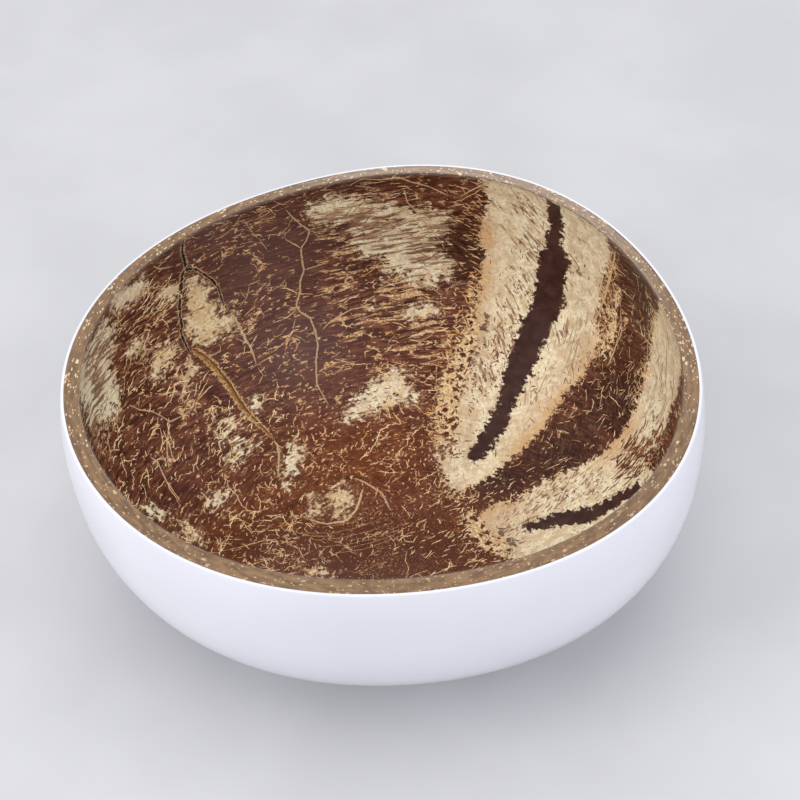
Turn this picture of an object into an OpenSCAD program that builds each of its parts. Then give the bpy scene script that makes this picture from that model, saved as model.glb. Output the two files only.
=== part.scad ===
// Half a coconut shell made into a bowl: the shell is sawn across, its base is sanded
// flat, the outside carries a thick white lacquer and the hollow a thin clear varnish.
// Millimetres, +Z up, origin at the middle of the flat that the bowl rests on.

/* [Bowl] */
// Mean outside diameter at the widest part, the belly
belly_d = 137; // [110:1:160]
// Height of the belly above the table
belly_h = 44; // [36:1:50]
// Height of the sawn rim above the table
bowl_h = 58; // [52:1:66]
// How far the rim leans in from the belly, on the radius
rim_lean = 1.5; // [0.6:0.1:4]
// Diameter of the flat sanded on the base
foot_d = 43; // [30:1:60]
// How full the side is between foot and belly: 2 is an ellipse, more is squarer
fullness = 2.5; // [2:0.1:3]

/* [Natural shape] */
// How much longer than wide the shell grew, as a share of its radius
oval_share = 0.034; // [0:0.002:0.06]
// Direction of the long way across, in degrees from +X
oval_turn = 2; // [0:1:179]
// How far the three carpel lobes swell out, as a share of the radius
lobe_share = 0.019; // [0:0.001:0.04]
// Direction of the first carpel lobe
lobe_turn = 71; // [0:1:119]
// How much the outline squares off between the lobes, as a share of the radius
square_share = 0.010; // [0:0.001:0.02]
// Direction of the first squared-off shoulder
square_turn = 60; // [0:1:89]

/* [Wall] */
// Mean thickness of the shell at its side
wall = 3.0; // [2:0.1:5]
// Thickness of the shell that is left over the sanded flat
floor_wall = 4.5; // [3:0.1:8]
// How far the hollow sits towards +Y, so that the wall is thicker at the front
hollow_shift = 0.4; // [0:0.1:1.2]

/* [Coats] */
// Thickness of the white lacquer with the ground coats under it
lacquer_t = 0.55; // [0.3:0.05:1]
// Thickness of the clear varnish in the hollow
varnish_t = 0.15; // [0.1:0.05:0.4]

/* [Smoothness] */
// Facets round the bowl
facets = 60; // [36:4:80]
// Rings of facets from the pole up to the rim
rings = 20; // [12:1:28]

/* [Hidden] */

belly_r = belly_d / 2;
foot_r = foot_d / 2;
rim_r = belly_r - rim_lean;
// How far the forms run past the saw cut, so that the cut leaves one clean face
overrun = 2;

// Half height of the full form below the belly, from the width of the sanded flat
form_low = belly_h / pow(1 - pow(foot_r / belly_r, fullness), 1 / fullness);
// Half height of the full form above the belly, from the lean of the rim
form_high = (bowl_h - belly_h) / pow(1 - pow(rim_r / belly_r, fullness), 1 / fullness);

// Height of the shell's own sanded flat, which the lacquer covers
shell_base = lacquer_t;
// Half height of the hollow below the belly
hollow_low = belly_h - shell_base - floor_wall;

// Radius of the natural outline in direction a, as a share of the mean radius
function outline(a) =
    1 + oval_share * cos(2 * (a - oval_turn))
      + lobe_share * cos(3 * (a - lobe_turn))
      + square_share * cos(4 * (a - square_turn));

// Point of the side profile, as [radius, height]: turn is 0 at the pole, 90 at the belly
function side(turn, reach, low, high) =
    [reach * pow(sin(turn), 2 / fullness),
     belly_h - (turn < 90 ? low : -high) * pow(abs(cos(turn)), 2 / fullness)];

// The turn at which a profile of half height high reaches past the saw cut
function top_turn(high) =
    90 + asin(pow(min(1, (bowl_h + overrun - belly_h) / high), fullness / 2));

// A closed solid of the grown form, lofted from rings that follow the outline
module grown_form(reach, low, high) {
    profile = [for (i = [1:rings]) side(top_turn(high) * i / rings, reach, low, high)];
    pole = [0, 0, belly_h - low];
    loft = [for (p = profile) for (j = [0:facets - 1])
        let (a = 360 * j / facets)
        [p[0] * outline(a) * cos(a), p[0] * outline(a) * sin(a), p[1]]];
    function at(i, j) = 1 + i * facets + j % facets;
    pole_fan = [for (j = [0:facets - 1]) [0, at(0, j), at(0, j + 1)]];
    walls = [for (i = [0:rings - 2]) for (j = [0:facets - 1]) each
        [[at(i, j), at(i + 1, j), at(i + 1, j + 1)],
         [at(i, j), at(i + 1, j + 1), at(i, j + 1)]]];
    lid = [[for (j = [facets - 1:-1:0]) at(rings - 1, j)]];
    polyhedron(concat([pole], loft), concat(pole_fan, walls, lid));
}

// The outside of the bowl, taken in by the thickness of what lies over it
module outside(inset) {
    grown_form(belly_r - inset, form_low - inset, form_high - inset);
}

// The hollow, taken in by the thickness of what lines it
module hollow(inset) {
    gone = lacquer_t + wall + inset;
    translate([0, hollow_shift, 0])
        grown_form(belly_r - gone, hollow_low - inset, form_high - gone);
}

// Everything between two heights: the sanding board below, the saw above
module between(low, high) {
    reach = belly_d;
    translate([-reach, -reach, low])
        cube([2 * reach, 2 * reach, high - low]);
}

// The sawn and sanded half shell
module coconut_shell() {
    color("saddlebrown")
    difference() {
        intersection() {
            outside(lacquer_t);
            between(shell_base, bowl_h);
        }
        hollow(0);
    }
}

// The white lacquer, built up over the whole outside and the flat
module white_lacquer() {
    color("white")
    difference() {
        intersection() {
            outside(0);
            between(0, bowl_h);
        }
        intersection() {
            outside(lacquer_t);
            between(shell_base, bowl_h + 2 * overrun);
        }
    }
}

// The clear varnish that lines the hollow
module clear_varnish() {
    color("peru", 0.3)
    difference() {
        intersection() {
            hollow(0);
            between(0, bowl_h);
        }
        hollow(varnish_t);
    }
}

coconut_shell();
white_lacquer();
clear_varnish();
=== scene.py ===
"""A food bowl made of half a coconut shell, seen as in its photograph.

The shell is sawn across and its base sanded flat. The outside is built up in white
lacquer, and the hollow keeps its natural markings under a clear gloss varnish. The
sections follow the order in which the bowl is made, and the last one is the studio.
Lengths are metres, +Z is up, and the origin is the middle of the flat it stands on.
"""
import math

import bmesh
import bpy
import numpy as np
from mathutils import Matrix, Vector
from mathutils.kdtree import KDTree


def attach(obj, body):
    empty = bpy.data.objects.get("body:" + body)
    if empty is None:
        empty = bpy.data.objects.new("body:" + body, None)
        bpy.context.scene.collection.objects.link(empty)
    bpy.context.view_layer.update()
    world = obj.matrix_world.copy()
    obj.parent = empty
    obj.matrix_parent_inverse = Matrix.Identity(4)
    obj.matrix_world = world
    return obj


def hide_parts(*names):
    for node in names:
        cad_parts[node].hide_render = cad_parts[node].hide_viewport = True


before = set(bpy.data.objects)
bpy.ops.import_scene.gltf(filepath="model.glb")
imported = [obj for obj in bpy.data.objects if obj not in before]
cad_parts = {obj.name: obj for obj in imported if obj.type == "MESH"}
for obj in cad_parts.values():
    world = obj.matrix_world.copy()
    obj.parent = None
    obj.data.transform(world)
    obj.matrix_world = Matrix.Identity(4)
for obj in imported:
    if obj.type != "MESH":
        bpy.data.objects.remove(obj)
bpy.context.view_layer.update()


# The coconut shell.
# Half of a nut's hard shell, about 3 mm thick: sawn across for the rim, scraped and
# sanded inside and out, and sanded flat under the base. Everything else is a coat on it.

mm = 0.001

belly_radius = 68.44 * mm     # at the widest part, over the lacquer
belly_height = 44 * mm
bowl_height = 58 * mm
rim_lean = 1.5 * mm           # the rim is this much nearer the middle than the belly
foot_radius = 21.5 * mm
fullness = 2.5                # 2 would be an ellipse, more is squarer
shell_wall = 3.0 * mm
floor_wall = 4.5 * mm
hollow_shift = 0.4 * mm       # the hollow sits this far towards +Y
lacquer_thickness = 0.55 * mm
sawn_edge = 0.25 * mm         # how far the rim's inner edge is eased

form_low = belly_height / (1 - (foot_radius / belly_radius) ** fullness) ** (1 / fullness)
form_high = (bowl_height - belly_height) / (
    1 - ((belly_radius - rim_lean) / belly_radius) ** fullness) ** (1 / fullness)
hollow_radius = belly_radius - lacquer_thickness - shell_wall
hollow_low = belly_height - lacquer_thickness - floor_wall
hollow_high = form_high - lacquer_thickness - shell_wall

# How the plan swells: share of the radius, times round, and bearing of the first swelling.
plan_swells = [(0.034, 2, 2), (0.019, 3, 71), (0.010, 4, 60)]


def natural_outline(bearing):
    """The nut's plan is a little oval, three-lobed and squared off. 1 is its mean radius."""
    return 1 + sum(share * math.cos(times * (bearing - math.radians(turn)))
                   for share, times, turn in plan_swells)


def side_profile(reach, low, high, bottom, top, points):
    """Points of the grown side as (radius, height), from the height bottom up to top. Its
    half heights are low under the belly and high above it."""
    def turn(height):
        lift = height - belly_height
        tall = low if lift < 0 else high
        return math.copysign(math.asin(min(1, (abs(lift) / tall) ** (fullness / 2))), lift)
    start, end = turn(bottom), turn(top)
    profile = []
    for i in range(points):
        a = start + (end - start) * i / (points - 1)
        lift = math.copysign(abs(math.sin(a)) ** (2 / fullness), a) * (low if a < 0 else high)
        profile.append((reach * math.cos(a) ** (2 / fullness), belly_height + lift))
    return profile


def eased_edge(corner, before, after, radius, points=4):
    """Rounds a corner of a profile between its two neighbours, as sandpaper does."""
    corner, before, after = Vector(corner), Vector(before), Vector(after)
    start = corner + (before - corner).normalized() * radius
    end = corner + (after - corner).normalized() * radius
    return [tuple(start.lerp(corner, t).lerp(corner.lerp(end, t), t))
            for t in (i / points for i in range(points + 1))]


def made_piece(bm, name, smooth):
    """Turns a bmesh's faces outwards and makes it a piece."""
    bmesh.ops.recalc_face_normals(bm, faces=bm.faces)
    mesh = bpy.data.meshes.new(name)
    bm.to_mesh(mesh)
    bm.free()
    mesh.polygons.foreach_set("use_smooth", [smooth] * len(mesh.polygons))
    piece = bpy.data.objects.new(name, mesh)
    bpy.context.scene.collection.objects.link(piece)
    return piece


def turned(name, profile, steps, shift_share):
    """Spins a profile of (radius, height) round the bowl's axis into a closed piece, and
    gives it the nut's natural plan. shift_share(radius, height) says how much of the
    hollow's shift a point takes."""
    bm = bmesh.new()
    row = [bm.verts.new((r, 0, z)) for r, z in profile]
    edges = [bm.edges.new(pair) for pair in zip(row, row[1:])]
    bmesh.ops.spin(bm, geom=row + edges, cent=(0, 0, 0), axis=(0, 0, 1),
                   angle=math.tau, steps=steps, use_merge=True)
    bmesh.ops.remove_doubles(bm, verts=bm.verts, dist=1e-6)
    piece = made_piece(bm, name, True)
    for v in piece.data.vertices:
        x, y, z = v.co
        shift = hollow_shift * shift_share(math.hypot(x, y), z)
        swell = natural_outline(math.atan2(y, x))
        v.co = (x * swell, y * swell + shift, z)
    return piece


def hollow_drop(height):
    """How far down a height is from the belly: 1 at the hollow's lowest point, less than
    0 above the belly."""
    return (belly_height - height) / (hollow_low if height < belly_height else hollow_high)


def hollow_reach(height):
    """Mean radius of the hollow at a height."""
    return hollow_radius * max(0, 1 - abs(hollow_drop(height)) ** fullness) ** (1 / fullness)


def shell_side(points):
    """The outside of the shell, under the lacquer."""
    return side_profile(belly_radius - lacquer_thickness, form_low - lacquer_thickness,
                        form_high - lacquer_thickness, lacquer_thickness, bowl_height, points)


def hollow_side(gap, top, points):
    """The hollow's wall up to the height top, or a side at a gap from it."""
    return side_profile(hollow_radius - gap, hollow_low - gap, hollow_high - gap,
                        belly_height - hollow_low + gap, top, points)


outer_side = shell_side(30)
inner_side = hollow_side(0, bowl_height, 118)
inner_rim, outer_rim = inner_side[-1], outer_side[-1]
rim_breadth = outer_rim[0] - inner_rim[0]
shell_profile = (
    [(0, inner_side[0][1])] + inner_side[1:-1]
    + eased_edge(inner_rim, inner_side[-2], outer_rim, sawn_edge)
    + [(inner_rim[0] + rim_breadth * i / 5, bowl_height) for i in range(1, 5)]
    + eased_edge(outer_rim, inner_rim, outer_side[-2], sawn_edge / 2)
    + outer_side[-2::-1] + [(0, lacquer_thickness)])


def wall_share(radius, height):
    """1 on the hollow, 0 on the outside, and in between across the sawn rim."""
    if height > bowl_height - sawn_edge:
        return min(1, max(0, (outer_rim[0] - radius) / rim_breadth))
    return 1 if radius < hollow_reach(height) + shell_wall / 3 else 0


shell = turned("coconut_shell_half", shell_profile, steps=432, shift_share=wall_share)

# The markings were read off the photograph, so they are placed through its camera. Spots
# are pixels of the 800 by 800 picture, and a line of sight through a spot meets the
# hollow's wall in one place.
photo_size = 800              # pixels
photo_focal = 1600            # pixels
photo_tilt = math.radians(47.27)
photo_roll = math.radians(-3.43)
photo_aim = Vector((3.19, -13.04, 58)) * mm
photo_away = 339.3 * mm
photo_depth = 200 * mm        # reaches past the far wall from the rim's level
sight = Vector((0, math.cos(photo_tilt), -math.sin(photo_tilt)))
level, upright = Vector((1, 0, 0)), Vector((0, math.sin(photo_tilt), math.cos(photo_tilt)))
photo_right = level * math.cos(photo_roll) + upright * math.sin(photo_roll)
photo_up = upright * math.cos(photo_roll) - level * math.sin(photo_roll)
photo_eye = photo_aim - sight * photo_away
mouth_middle = Vector((0, hollow_shift, bowl_height))


def beyond_wall(spot):
    """Over 1 where a point is outside the hollow."""
    x, y = spot.x, spot.y - hollow_shift
    reach = math.hypot(x, y) / (natural_outline(math.atan2(y, x)) * hollow_radius)
    return reach ** fullness + abs(hollow_drop(spot.z)) ** fullness


def seen_at(px, py):
    """The place on the hollow's wall that the photograph shows at a pixel, or at the rim
    where the pixel lies outside the hollow's mouth."""
    ray = sight + photo_right * ((px - photo_size / 2) / photo_focal) \
        - photo_up * ((py - photo_size / 2) / photo_focal)
    start = photo_eye + ray * ((bowl_height - photo_eye.z) / ray.z)
    end = start + ray * photo_depth
    if beyond_wall(start) > 1:
        start, end = mouth_middle, start
    inside, outside = 0.0, 1.0
    for _ in range(32):
        half = (inside + outside) / 2
        if beyond_wall(start.lerp(end, half)) > 1:
            outside = half
        else:
            inside = half
    return start.lerp(end, inside)


def on_wall(bearing, height):
    """A place on the hollow's wall by its bearing in degrees and its height in mm. It
    serves for the near wall, which the photograph hides."""
    a, z = math.radians(bearing), height * mm
    r = hollow_reach(z) * natural_outline(a)
    return Vector((r * math.cos(a), r * math.sin(a) + hollow_shift, z))


# The nut grew about its own pole, which lies in front of the sanded flat. Fibres run
# round that pole.
growth_middle = Vector((0, hollow_shift, belly_height))
growth_pole = (seen_at(410, 550) - growth_middle).normalized()
growth_turn = np.asarray(growth_pole.rotation_difference(Vector((0, 0, -1))).to_matrix())
arc_radius = 60               # mm, for lengths of arc from the pole


def round_pole(spots):
    """Where places lie round the growth pole: the way out from it, as (x, y), and the
    length of arc to it in mm."""
    from_middle = (np.asarray(spots) - np.asarray(growth_middle)) @ growth_turn.T
    around = np.maximum(np.hypot(from_middle[:, 0], from_middle[:, 1]), 1e-6)
    arc = np.arctan2(around, -from_middle[:, 2]) * arc_radius
    return np.column_stack([from_middle[:, :2] / around[:, None], arc])


def unrolled(spots):
    """Lays places on the wall out flat round the growth pole, as (x, y) in mm."""
    rounds = round_pole(spots)
    return rounds[:, :2] * rounds[:, 2:]


def pushed_to_wall(spot):
    """Moves a place straight away from the hollow's middle until it lies on the wall."""
    return growth_middle + (spot - growth_middle) / beyond_wall(spot) ** (1 / fullness)


def walk(places, step=1.6 * mm):
    """Spots and places as one line of points on the wall, no further apart than step."""
    points = [p if isinstance(p, Vector) else seen_at(*p) for p in places]
    line = [points[0]]
    for a, b in zip(points, points[1:]):
        n = max(1, math.ceil((b - a).length / step))
        for i in range(1, n + 1):
            line.append(pushed_to_wall(a.lerp(b, i / n)))
    return np.asarray([tuple(p) for p in line])


shell_spots = np.empty(len(shell.data.vertices) * 3, np.float32)
shell.data.vertices.foreach_get("co", shell_spots)
shell_spots = shell_spots.reshape(-1, 3).astype(np.float64)
shell_flat = unrolled(shell_spots)


def nearest_on(line, far=14.0):
    """For each point of the shell: distance to a line in mm, no more than far, share along
    the whole line, and which side of it."""
    best = np.full(len(shell_spots), far)
    segment = np.zeros(len(shell_spots), int)
    along = np.zeros(len(shell_spots))
    middle = line.mean(axis=0)
    reach = np.linalg.norm(line - middle, axis=1).max() + far * mm
    near = np.flatnonzero(np.linalg.norm(shell_spots - middle, axis=1) < reach)
    spots = shell_spots[near]
    for i, (a, b) in enumerate(zip(line, line[1:])):
        way = b - a
        t = np.clip((spots - a) @ way / (way @ way), 0, 1)
        gap = np.linalg.norm(spots - (a + t[:, None] * way), axis=1) / mm
        better = gap < best[near]
        at = near[better]
        best[at], segment[at], along[at] = gap[better], i, (i + t[better]) / (len(line) - 1)
    flat = unrolled(line)
    way, arm = flat[segment + 1] - flat[segment], shell_flat - flat[segment]
    return best, along, np.sign(way[:, 0] * arm[:, 1] - way[:, 1] * arm[:, 0])


def depth_inside(places):
    """How far each point of the shell lies inside a closed outline, in mm, less than 0
    outside it."""
    line = walk(list(places) + [places[0]])
    gap, _, _ = nearest_on(line)
    inside = np.zeros(len(shell_spots), bool)
    x, y = shell_flat[:, 0], shell_flat[:, 1]
    flat = unrolled(line)
    for (ax, ay), (bx, by) in zip(flat, flat[1:]):
        crosses = (ay > y) != (by > y)
        with np.errstate(divide="ignore", invalid="ignore"):
            inside ^= crosses & (x < (bx - ax) * (y - ay) / (by - ay) + ax)
    return np.where(inside, gap, -gap)


# Two broad pale stripes run from the rim to the growth pole, each with a dark middle.
wide_stripe = [
    (486, 172), (489, 200), (486, 217), (480, 235), (483, 250), (480, 272), (480, 290),
    (474, 315), (470, 337), (458, 355), (448, 377), (441, 402), (442, 425), (436, 447),
    (440, 470), (452, 487), (462, 492), (478, 485), (492, 475), (508, 461), (525, 446),
    (541, 434), (553, 411), (567, 394), (583, 376), (592, 357), (599, 338), (594, 320),
    (601, 303), (598, 287), (606, 273), (611, 262), (608, 247), (616, 232)]
side_stripe = [
    (662, 290), (660, 300), (656, 318), (652, 340), (647, 370), (639, 396), (630, 420),
    (618, 438), (600, 455), (580, 466), (560, 474), (548, 478), (530, 491), (511, 502),
    (498, 501), (483, 511), (471, 522), (482, 536), (500, 549), (511, 556), on_wall(-47, 10),
    on_wall(-57, 12), on_wall(-57, 17), on_wall(-63, 21), on_wall(-59, 27), on_wall(-55, 30),
    on_wall(-55, 36), on_wall(-48, 40), on_wall(-45, 46), on_wall(-39, 51), on_wall(-36, 58),
    (643, 467), (654, 450), (664, 429), (672, 406), (679, 384), (686, 345)]
wide_core = [
    (549, 180), (547, 197), (550, 227), (546, 246), (540, 258), (535, 285), (533, 305),
    (520, 328), (512, 350), (504, 382), (497, 405), (487, 424), (479, 440), (467, 457),
    (473, 461), (485, 455), (494, 444), (507, 421), (513, 405), (527, 380), (540, 350),
    (550, 327), (562, 306), (563, 282), (569, 261), (560, 245), (561, 222), (559, 206), (563, 186)]
side_core = [
    (524, 524), (540, 519), (560, 514), (580, 510), (600, 505), (617, 495), (635, 484),
    on_wall(-30, 52), on_wall(-27, 58), on_wall(-36, 58), on_wall(-38, 50), (625, 500), (607, 512),
    (590, 521), (572, 524), (550, 526), (531, 528)]
# Paler patches are left where the scraper did not reach the dark layer.
patches = [
    [(305, 202), (332, 194), (365, 195), (385, 201), (412, 211), (430, 206), (448, 214), (451, 230),
     (441, 247), (456, 268), (451, 283), (430, 288), (409, 281), (386, 276), (381, 264), (350, 253),
     (339, 243), (355, 235), (336, 227), (314, 224)],
    [(408, 310), (420, 303), (437, 305), (441, 313), (425, 321), (409, 319)],
    [(370, 307), (377, 304), (381, 309), (375, 314)],
    [(340, 421), (354, 398), (370, 382), (385, 370), (402, 369), (411, 382), (419, 397), (407, 406),
     (399, 401), (385, 408), (372, 415), (357, 418)],
    [(185, 276), (200, 277), (208, 287), (211, 302), (221, 310), (235, 312), (240, 325), (231, 333),
     (220, 336), (210, 346), (198, 344), (189, 334), (184, 322), (185, 305), (186, 290)],
    [(158, 300), (163, 289), (172, 282), (180, 284), (179, 296), (172, 304), (164, 307)],
    [(92, 340), (99, 325), (106, 318), (114, 330), (115, 346), (110, 360), (114, 378), (122, 390),
     (119, 408), (108, 423), (98, 436), (89, 428), (83, 408), (79, 388), (82, 362)],
    [(104, 302), (120, 289), (140, 277), (149, 283), (140, 298), (124, 310), (111, 312)],
    [(150, 376), (152, 362), (158, 350), (165, 341), (174, 343), (178, 354), (172, 364), (164, 376),
     (156, 382)],
    [(187, 358), (193, 359), (194, 368), (190, 379), (186, 389), (181, 401), (183, 386), (186, 372)],
    [(127, 352), (134, 344), (141, 340), (143, 349), (136, 357)],
    [(249, 397), (258, 395), (264, 402), (259, 410), (251, 408)],
    [(214, 431), (224, 418), (235, 416), (234, 430), (222, 441)],
    [(227, 458), (233, 445), (245, 439), (253, 443), (246, 455), (234, 466)],
    [(285, 451), (294, 441), (305, 446), (301, 458), (297, 474), (287, 488), (284, 470)],
    [(204, 501), (214, 493), (228, 492), (226, 503), (211, 511)],
    [(308, 504), (312, 496), (319, 497), (323, 505), (320, 512), (311, 514)],
    [(326, 497), (331, 487), (343, 484), (351, 491), (354, 502), (348, 512), (337, 518), (330, 513),
     (334, 504)],
    [(143, 506), (155, 503), (166, 512), (162, 521), (150, 515)],
    [(177, 523), (189, 521), (199, 534), (203, 545), (193, 540), (181, 533)],
    [(304, 570), (318, 567), (328, 573), (325, 577), (309, 575)],
]

# Where a stripe's edge thins out, golden threads net a dark ground.
netted_edges = [
    [(474, 312), (480, 326), (476, 346), (470, 366), (464, 388), (458, 408), (461, 424), (450, 440),
     (436, 430), (436, 404), (443, 376), (454, 352), (465, 330)],
    [(468, 510), (480, 518), (490, 531), (503, 540), (513, 549), (507, 557), (492, 553), (478, 545),
     (469, 533), (462, 520)],
    [(598, 352), (606, 338), (604, 318), (610, 300), (620, 286), (618, 312), (616, 338), (608, 360)]]
outlines = {"stripes": [wide_stripe, side_stripe], "cores": [wide_core, side_core],
            "patches": patches, "netted": netted_edges}
depths = {name: np.max([depth_inside(places) for places in group], axis=0)
          for name, group in outlines.items()}

# Soft round zones of another tone. Each spot is a pixel, or a place, and a radius in mm.
zones = {
    "warm": [(360, 470, 20), (300, 520, 16), (430, 540, 18), (350, 550, 16), (250, 530, 12)],
    # Painted sheen: the varnish's grey reflection up on the left, painted into the dark layer.
    "painted_sheen_grey": [(262, 262, 20), (300, 350, 15), (205, 215, 14)],
    "deep": [(625, 400, 15), (560, 455, 12), (650, 300, 12), (668, 272, 9), (500, 480, 8),
             (465, 250, 10), (110, 480, 12)],
    "banded": [(360, 262, 12), (400, 300, 14), (350, 300, 12), (420, 335, 12), (330, 220, 8)],
    "streaky": [(360, 225, 16), (430, 240, 12), (250, 445, 10), (95, 370, 12), (90, 420, 9)],
    # Paler cream in places. On the left wall it is also painted light, brightening the cream there in place
    # of lamp light.
    "paler_cream_and_painted_light": [(95, 380, 16), (235, 450, 12), (150, 510, 10)],
    "golden": [(200, 310, 14), (165, 350, 8), (335, 505, 10), (185, 380, 6), (190, 530, 8),
               (310, 575, 8)],
    "gilded": [(482, 235, 6), (478, 280, 7), (466, 330, 8), (450, 380, 8), (448, 430, 7),
               (590, 370, 7), (560, 410, 8), (530, 440, 7), (490, 520, 8), (620, 440, 7),
               (on_wall(-57, 12), 7), (on_wall(-62, 21), 7), (on_wall(-56, 32), 7),
               (on_wall(-46, 44), 6)],
    "eaten": [(458, 350, 6), (452, 385, 6), (448, 415, 6), (452, 445, 5), (474, 325, 5),
              (645, 452, 7), (505, 540, 5)],
    "rooted": [(606, 265, 8), (602, 300, 8), (600, 335, 7), (655, 330, 7), (645, 380, 7)],
    "scratched": [(575, 330, 12), (560, 400, 14), (672, 370, 14), (560, 490, 12), (640, 430, 12),
                  (on_wall(-50, 24), 16)],
    "pitted": [(530, 215, 4), (526, 245, 5), (519, 285, 5), (511, 318, 6), (498, 345, 7),
               (488, 368, 7), (570, 265, 4), (560, 330, 3), (530, 395, 3), (640, 455, 5),
               (560, 485, 9), (520, 515, 6), (on_wall(-42, 14), 8), (on_wall(-48, 22), 6),
               (on_wall(-43, 36), 6)],
}


def zone_share(spots):
    """How much each point of the shell belongs to a zone."""
    share = np.zeros(len(shell_spots))
    for *place, size in spots:
        middle = place[0] if len(place) == 1 else seen_at(*place)
        gap = np.linalg.norm(shell_spots - np.asarray(middle), axis=1) / mm
        share = np.maximum(share, np.exp(-(gap / size) ** 2))
    return share


line_reach = 4.0              # mm to each side of a line, where it is measured


def drawn_lines(drawn):
    """For each point of the shell: distance across the nearest line over its half width,
    and plain distance in mm. The third number stays 0. A line tapers at both ends."""
    best = np.full(len(shell_spots), line_reach)
    across = np.full(len(shell_spots), 1e3)
    for places, start, middle, end in drawn:
        gap, along, side = nearest_on(walk(places, 0.8 * mm), line_reach)
        half = np.interp(along, [0, 0.04, 0.5, 0.94, 1], [0.02, start, middle, end, 0.01])
        better = gap < best
        best[better] = gap[better]
        across[better] = (side * gap / half)[better]
    return np.column_stack([across, best, np.zeros(len(best))])


# A crack starts at the rim on the left and opens into a golden groove. Its fork and some
# long veins stand a little proud. Each line has its half width in mm at start, middle, end.
line_places = {"crack": [
    ([(184, 238), (182, 252), (185, 262), (187, 268), (182, 274), (181, 288), (180, 302), (180, 316),
      (182, 325), (181, 333), (185, 343), (191, 354)], 0.62, 0.72, 0.45),
    ([(187, 268), (195, 269), (204, 274), (213, 281), (219, 289), (223, 303), (230, 313)], 0.55, 0.45, 0.3),
], "groove": [
    ([(190, 348), (198, 353), (206, 358), (213, 364), (221, 375), (230, 386), (238, 400), (248, 413),
      (262, 427), (276, 441)], 0.85, 1.25, 0.5),
], "fork": [
    ([(230, 313), (238, 323), (245, 338), (251, 348), (257, 365)], 0.38, 0.34, 0.2),
    ([(191, 356), (190, 368), (186, 380), (184, 390), (180, 399)], 0.30, 0.42, 0.2),
    ([(285, 209), (291, 216), (300, 224), (310, 231), (306, 241), (301, 248), (302, 260), (304, 270),
      (300, 282), (300, 293), (296, 305), (300, 312), (310, 318), (315, 330), (318, 345), (316, 362),
      (317, 385), (323, 395), (330, 407)], 0.16, 0.24, 0.18),
    ([(404, 189), (407, 202), (417, 212), (427, 225), (436, 235), (446, 250)], 0.14, 0.2, 0.12),
    ([(277, 443), (279, 456), (278, 478)], 0.3, 0.22, 0.14),
    ([(172, 267), (160, 269), (152, 266)], 0.14, 0.16, 0.1),
    ([(130, 405), (140, 410), (151, 411), (160, 415), (170, 422), (180, 417), (190, 411), (198, 400)],
     0.14, 0.18, 0.12),
    ([(351, 477), (362, 481), (371, 486), (382, 493), (387, 503), (392, 512)], 0.18, 0.26, 0.14),
    ([(375, 290), (392, 284), (412, 281), (430, 286), (442, 296)], 0.12, 0.18, 0.1),
], "vein": [
    ([(347, 187), (362, 179), (382, 180), (398, 177), (411, 182), (430, 187), (450, 197)], 0.14, 0.2, 0.14),
    ([(170, 422), (167, 445), (169, 470)], 0.2, 0.18, 0.12),
    ([(149, 456), (158, 462), (166, 480), (174, 492), (181, 501)], 0.14, 0.2, 0.12),
    ([(363, 488), (360, 499), (356, 510), (346, 521), (326, 524), (306, 519)], 0.24, 0.34, 0.16),
    ([(322, 330), (330, 322), (341, 315), (352, 309), (364, 307)], 0.12, 0.18, 0.1),
    ([(301, 248), (290, 242), (283, 238)], 0.14, 0.14, 0.1),
    ([(304, 270), (317, 266), (329, 262)], 0.14, 0.14, 0.1),
    ([(460, 197), (472, 190), (486, 184)], 0.12, 0.18, 0.12),
    ([(197, 401), (205, 392), (214, 384)], 0.12, 0.16, 0.1),
    ([(109, 305), (117, 316), (122, 327)], 0.14, 0.2, 0.1),
    ([(620, 312), (622, 330), (615, 348), (607, 368)], 0.1, 0.16, 0.1),
    ([(615, 250), (612, 268), (607, 288), (600, 310), (592, 325)], 0.22, 0.34, 0.16),
]}
lines = {name: drawn_lines(drawn) for name, drawn in line_places.items()}
crack_gap = np.minimum(lines["crack"][:, 1], lines["groove"][:, 1])


def mark(name, values):
    """Stores one number or three numbers for each point of the shell."""
    kind, field = ("FLOAT", "value") if values.ndim == 1 else ("FLOAT_VECTOR", "vector")
    layer = shell.data.attributes.new(name, kind, "POINT")
    layer.data.foreach_set(field, np.ascontiguousarray(values, np.float32).ravel())


mark("grain", round_pole(shell_spots))
for name, spots in zones.items():
    mark(name, zone_share(spots))
for name, values in (depths | lines).items():
    mark(name, values)


def paint(red, green, blue):
    """A colour as read off the photograph, in 0 to 255, for a shader."""
    return tuple((c / 255 / 12.92 if c < 11 else ((c / 255 + 0.055) / 1.055) ** 2.4)
                 for c in (red, green, blue)) + (1,)


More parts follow.
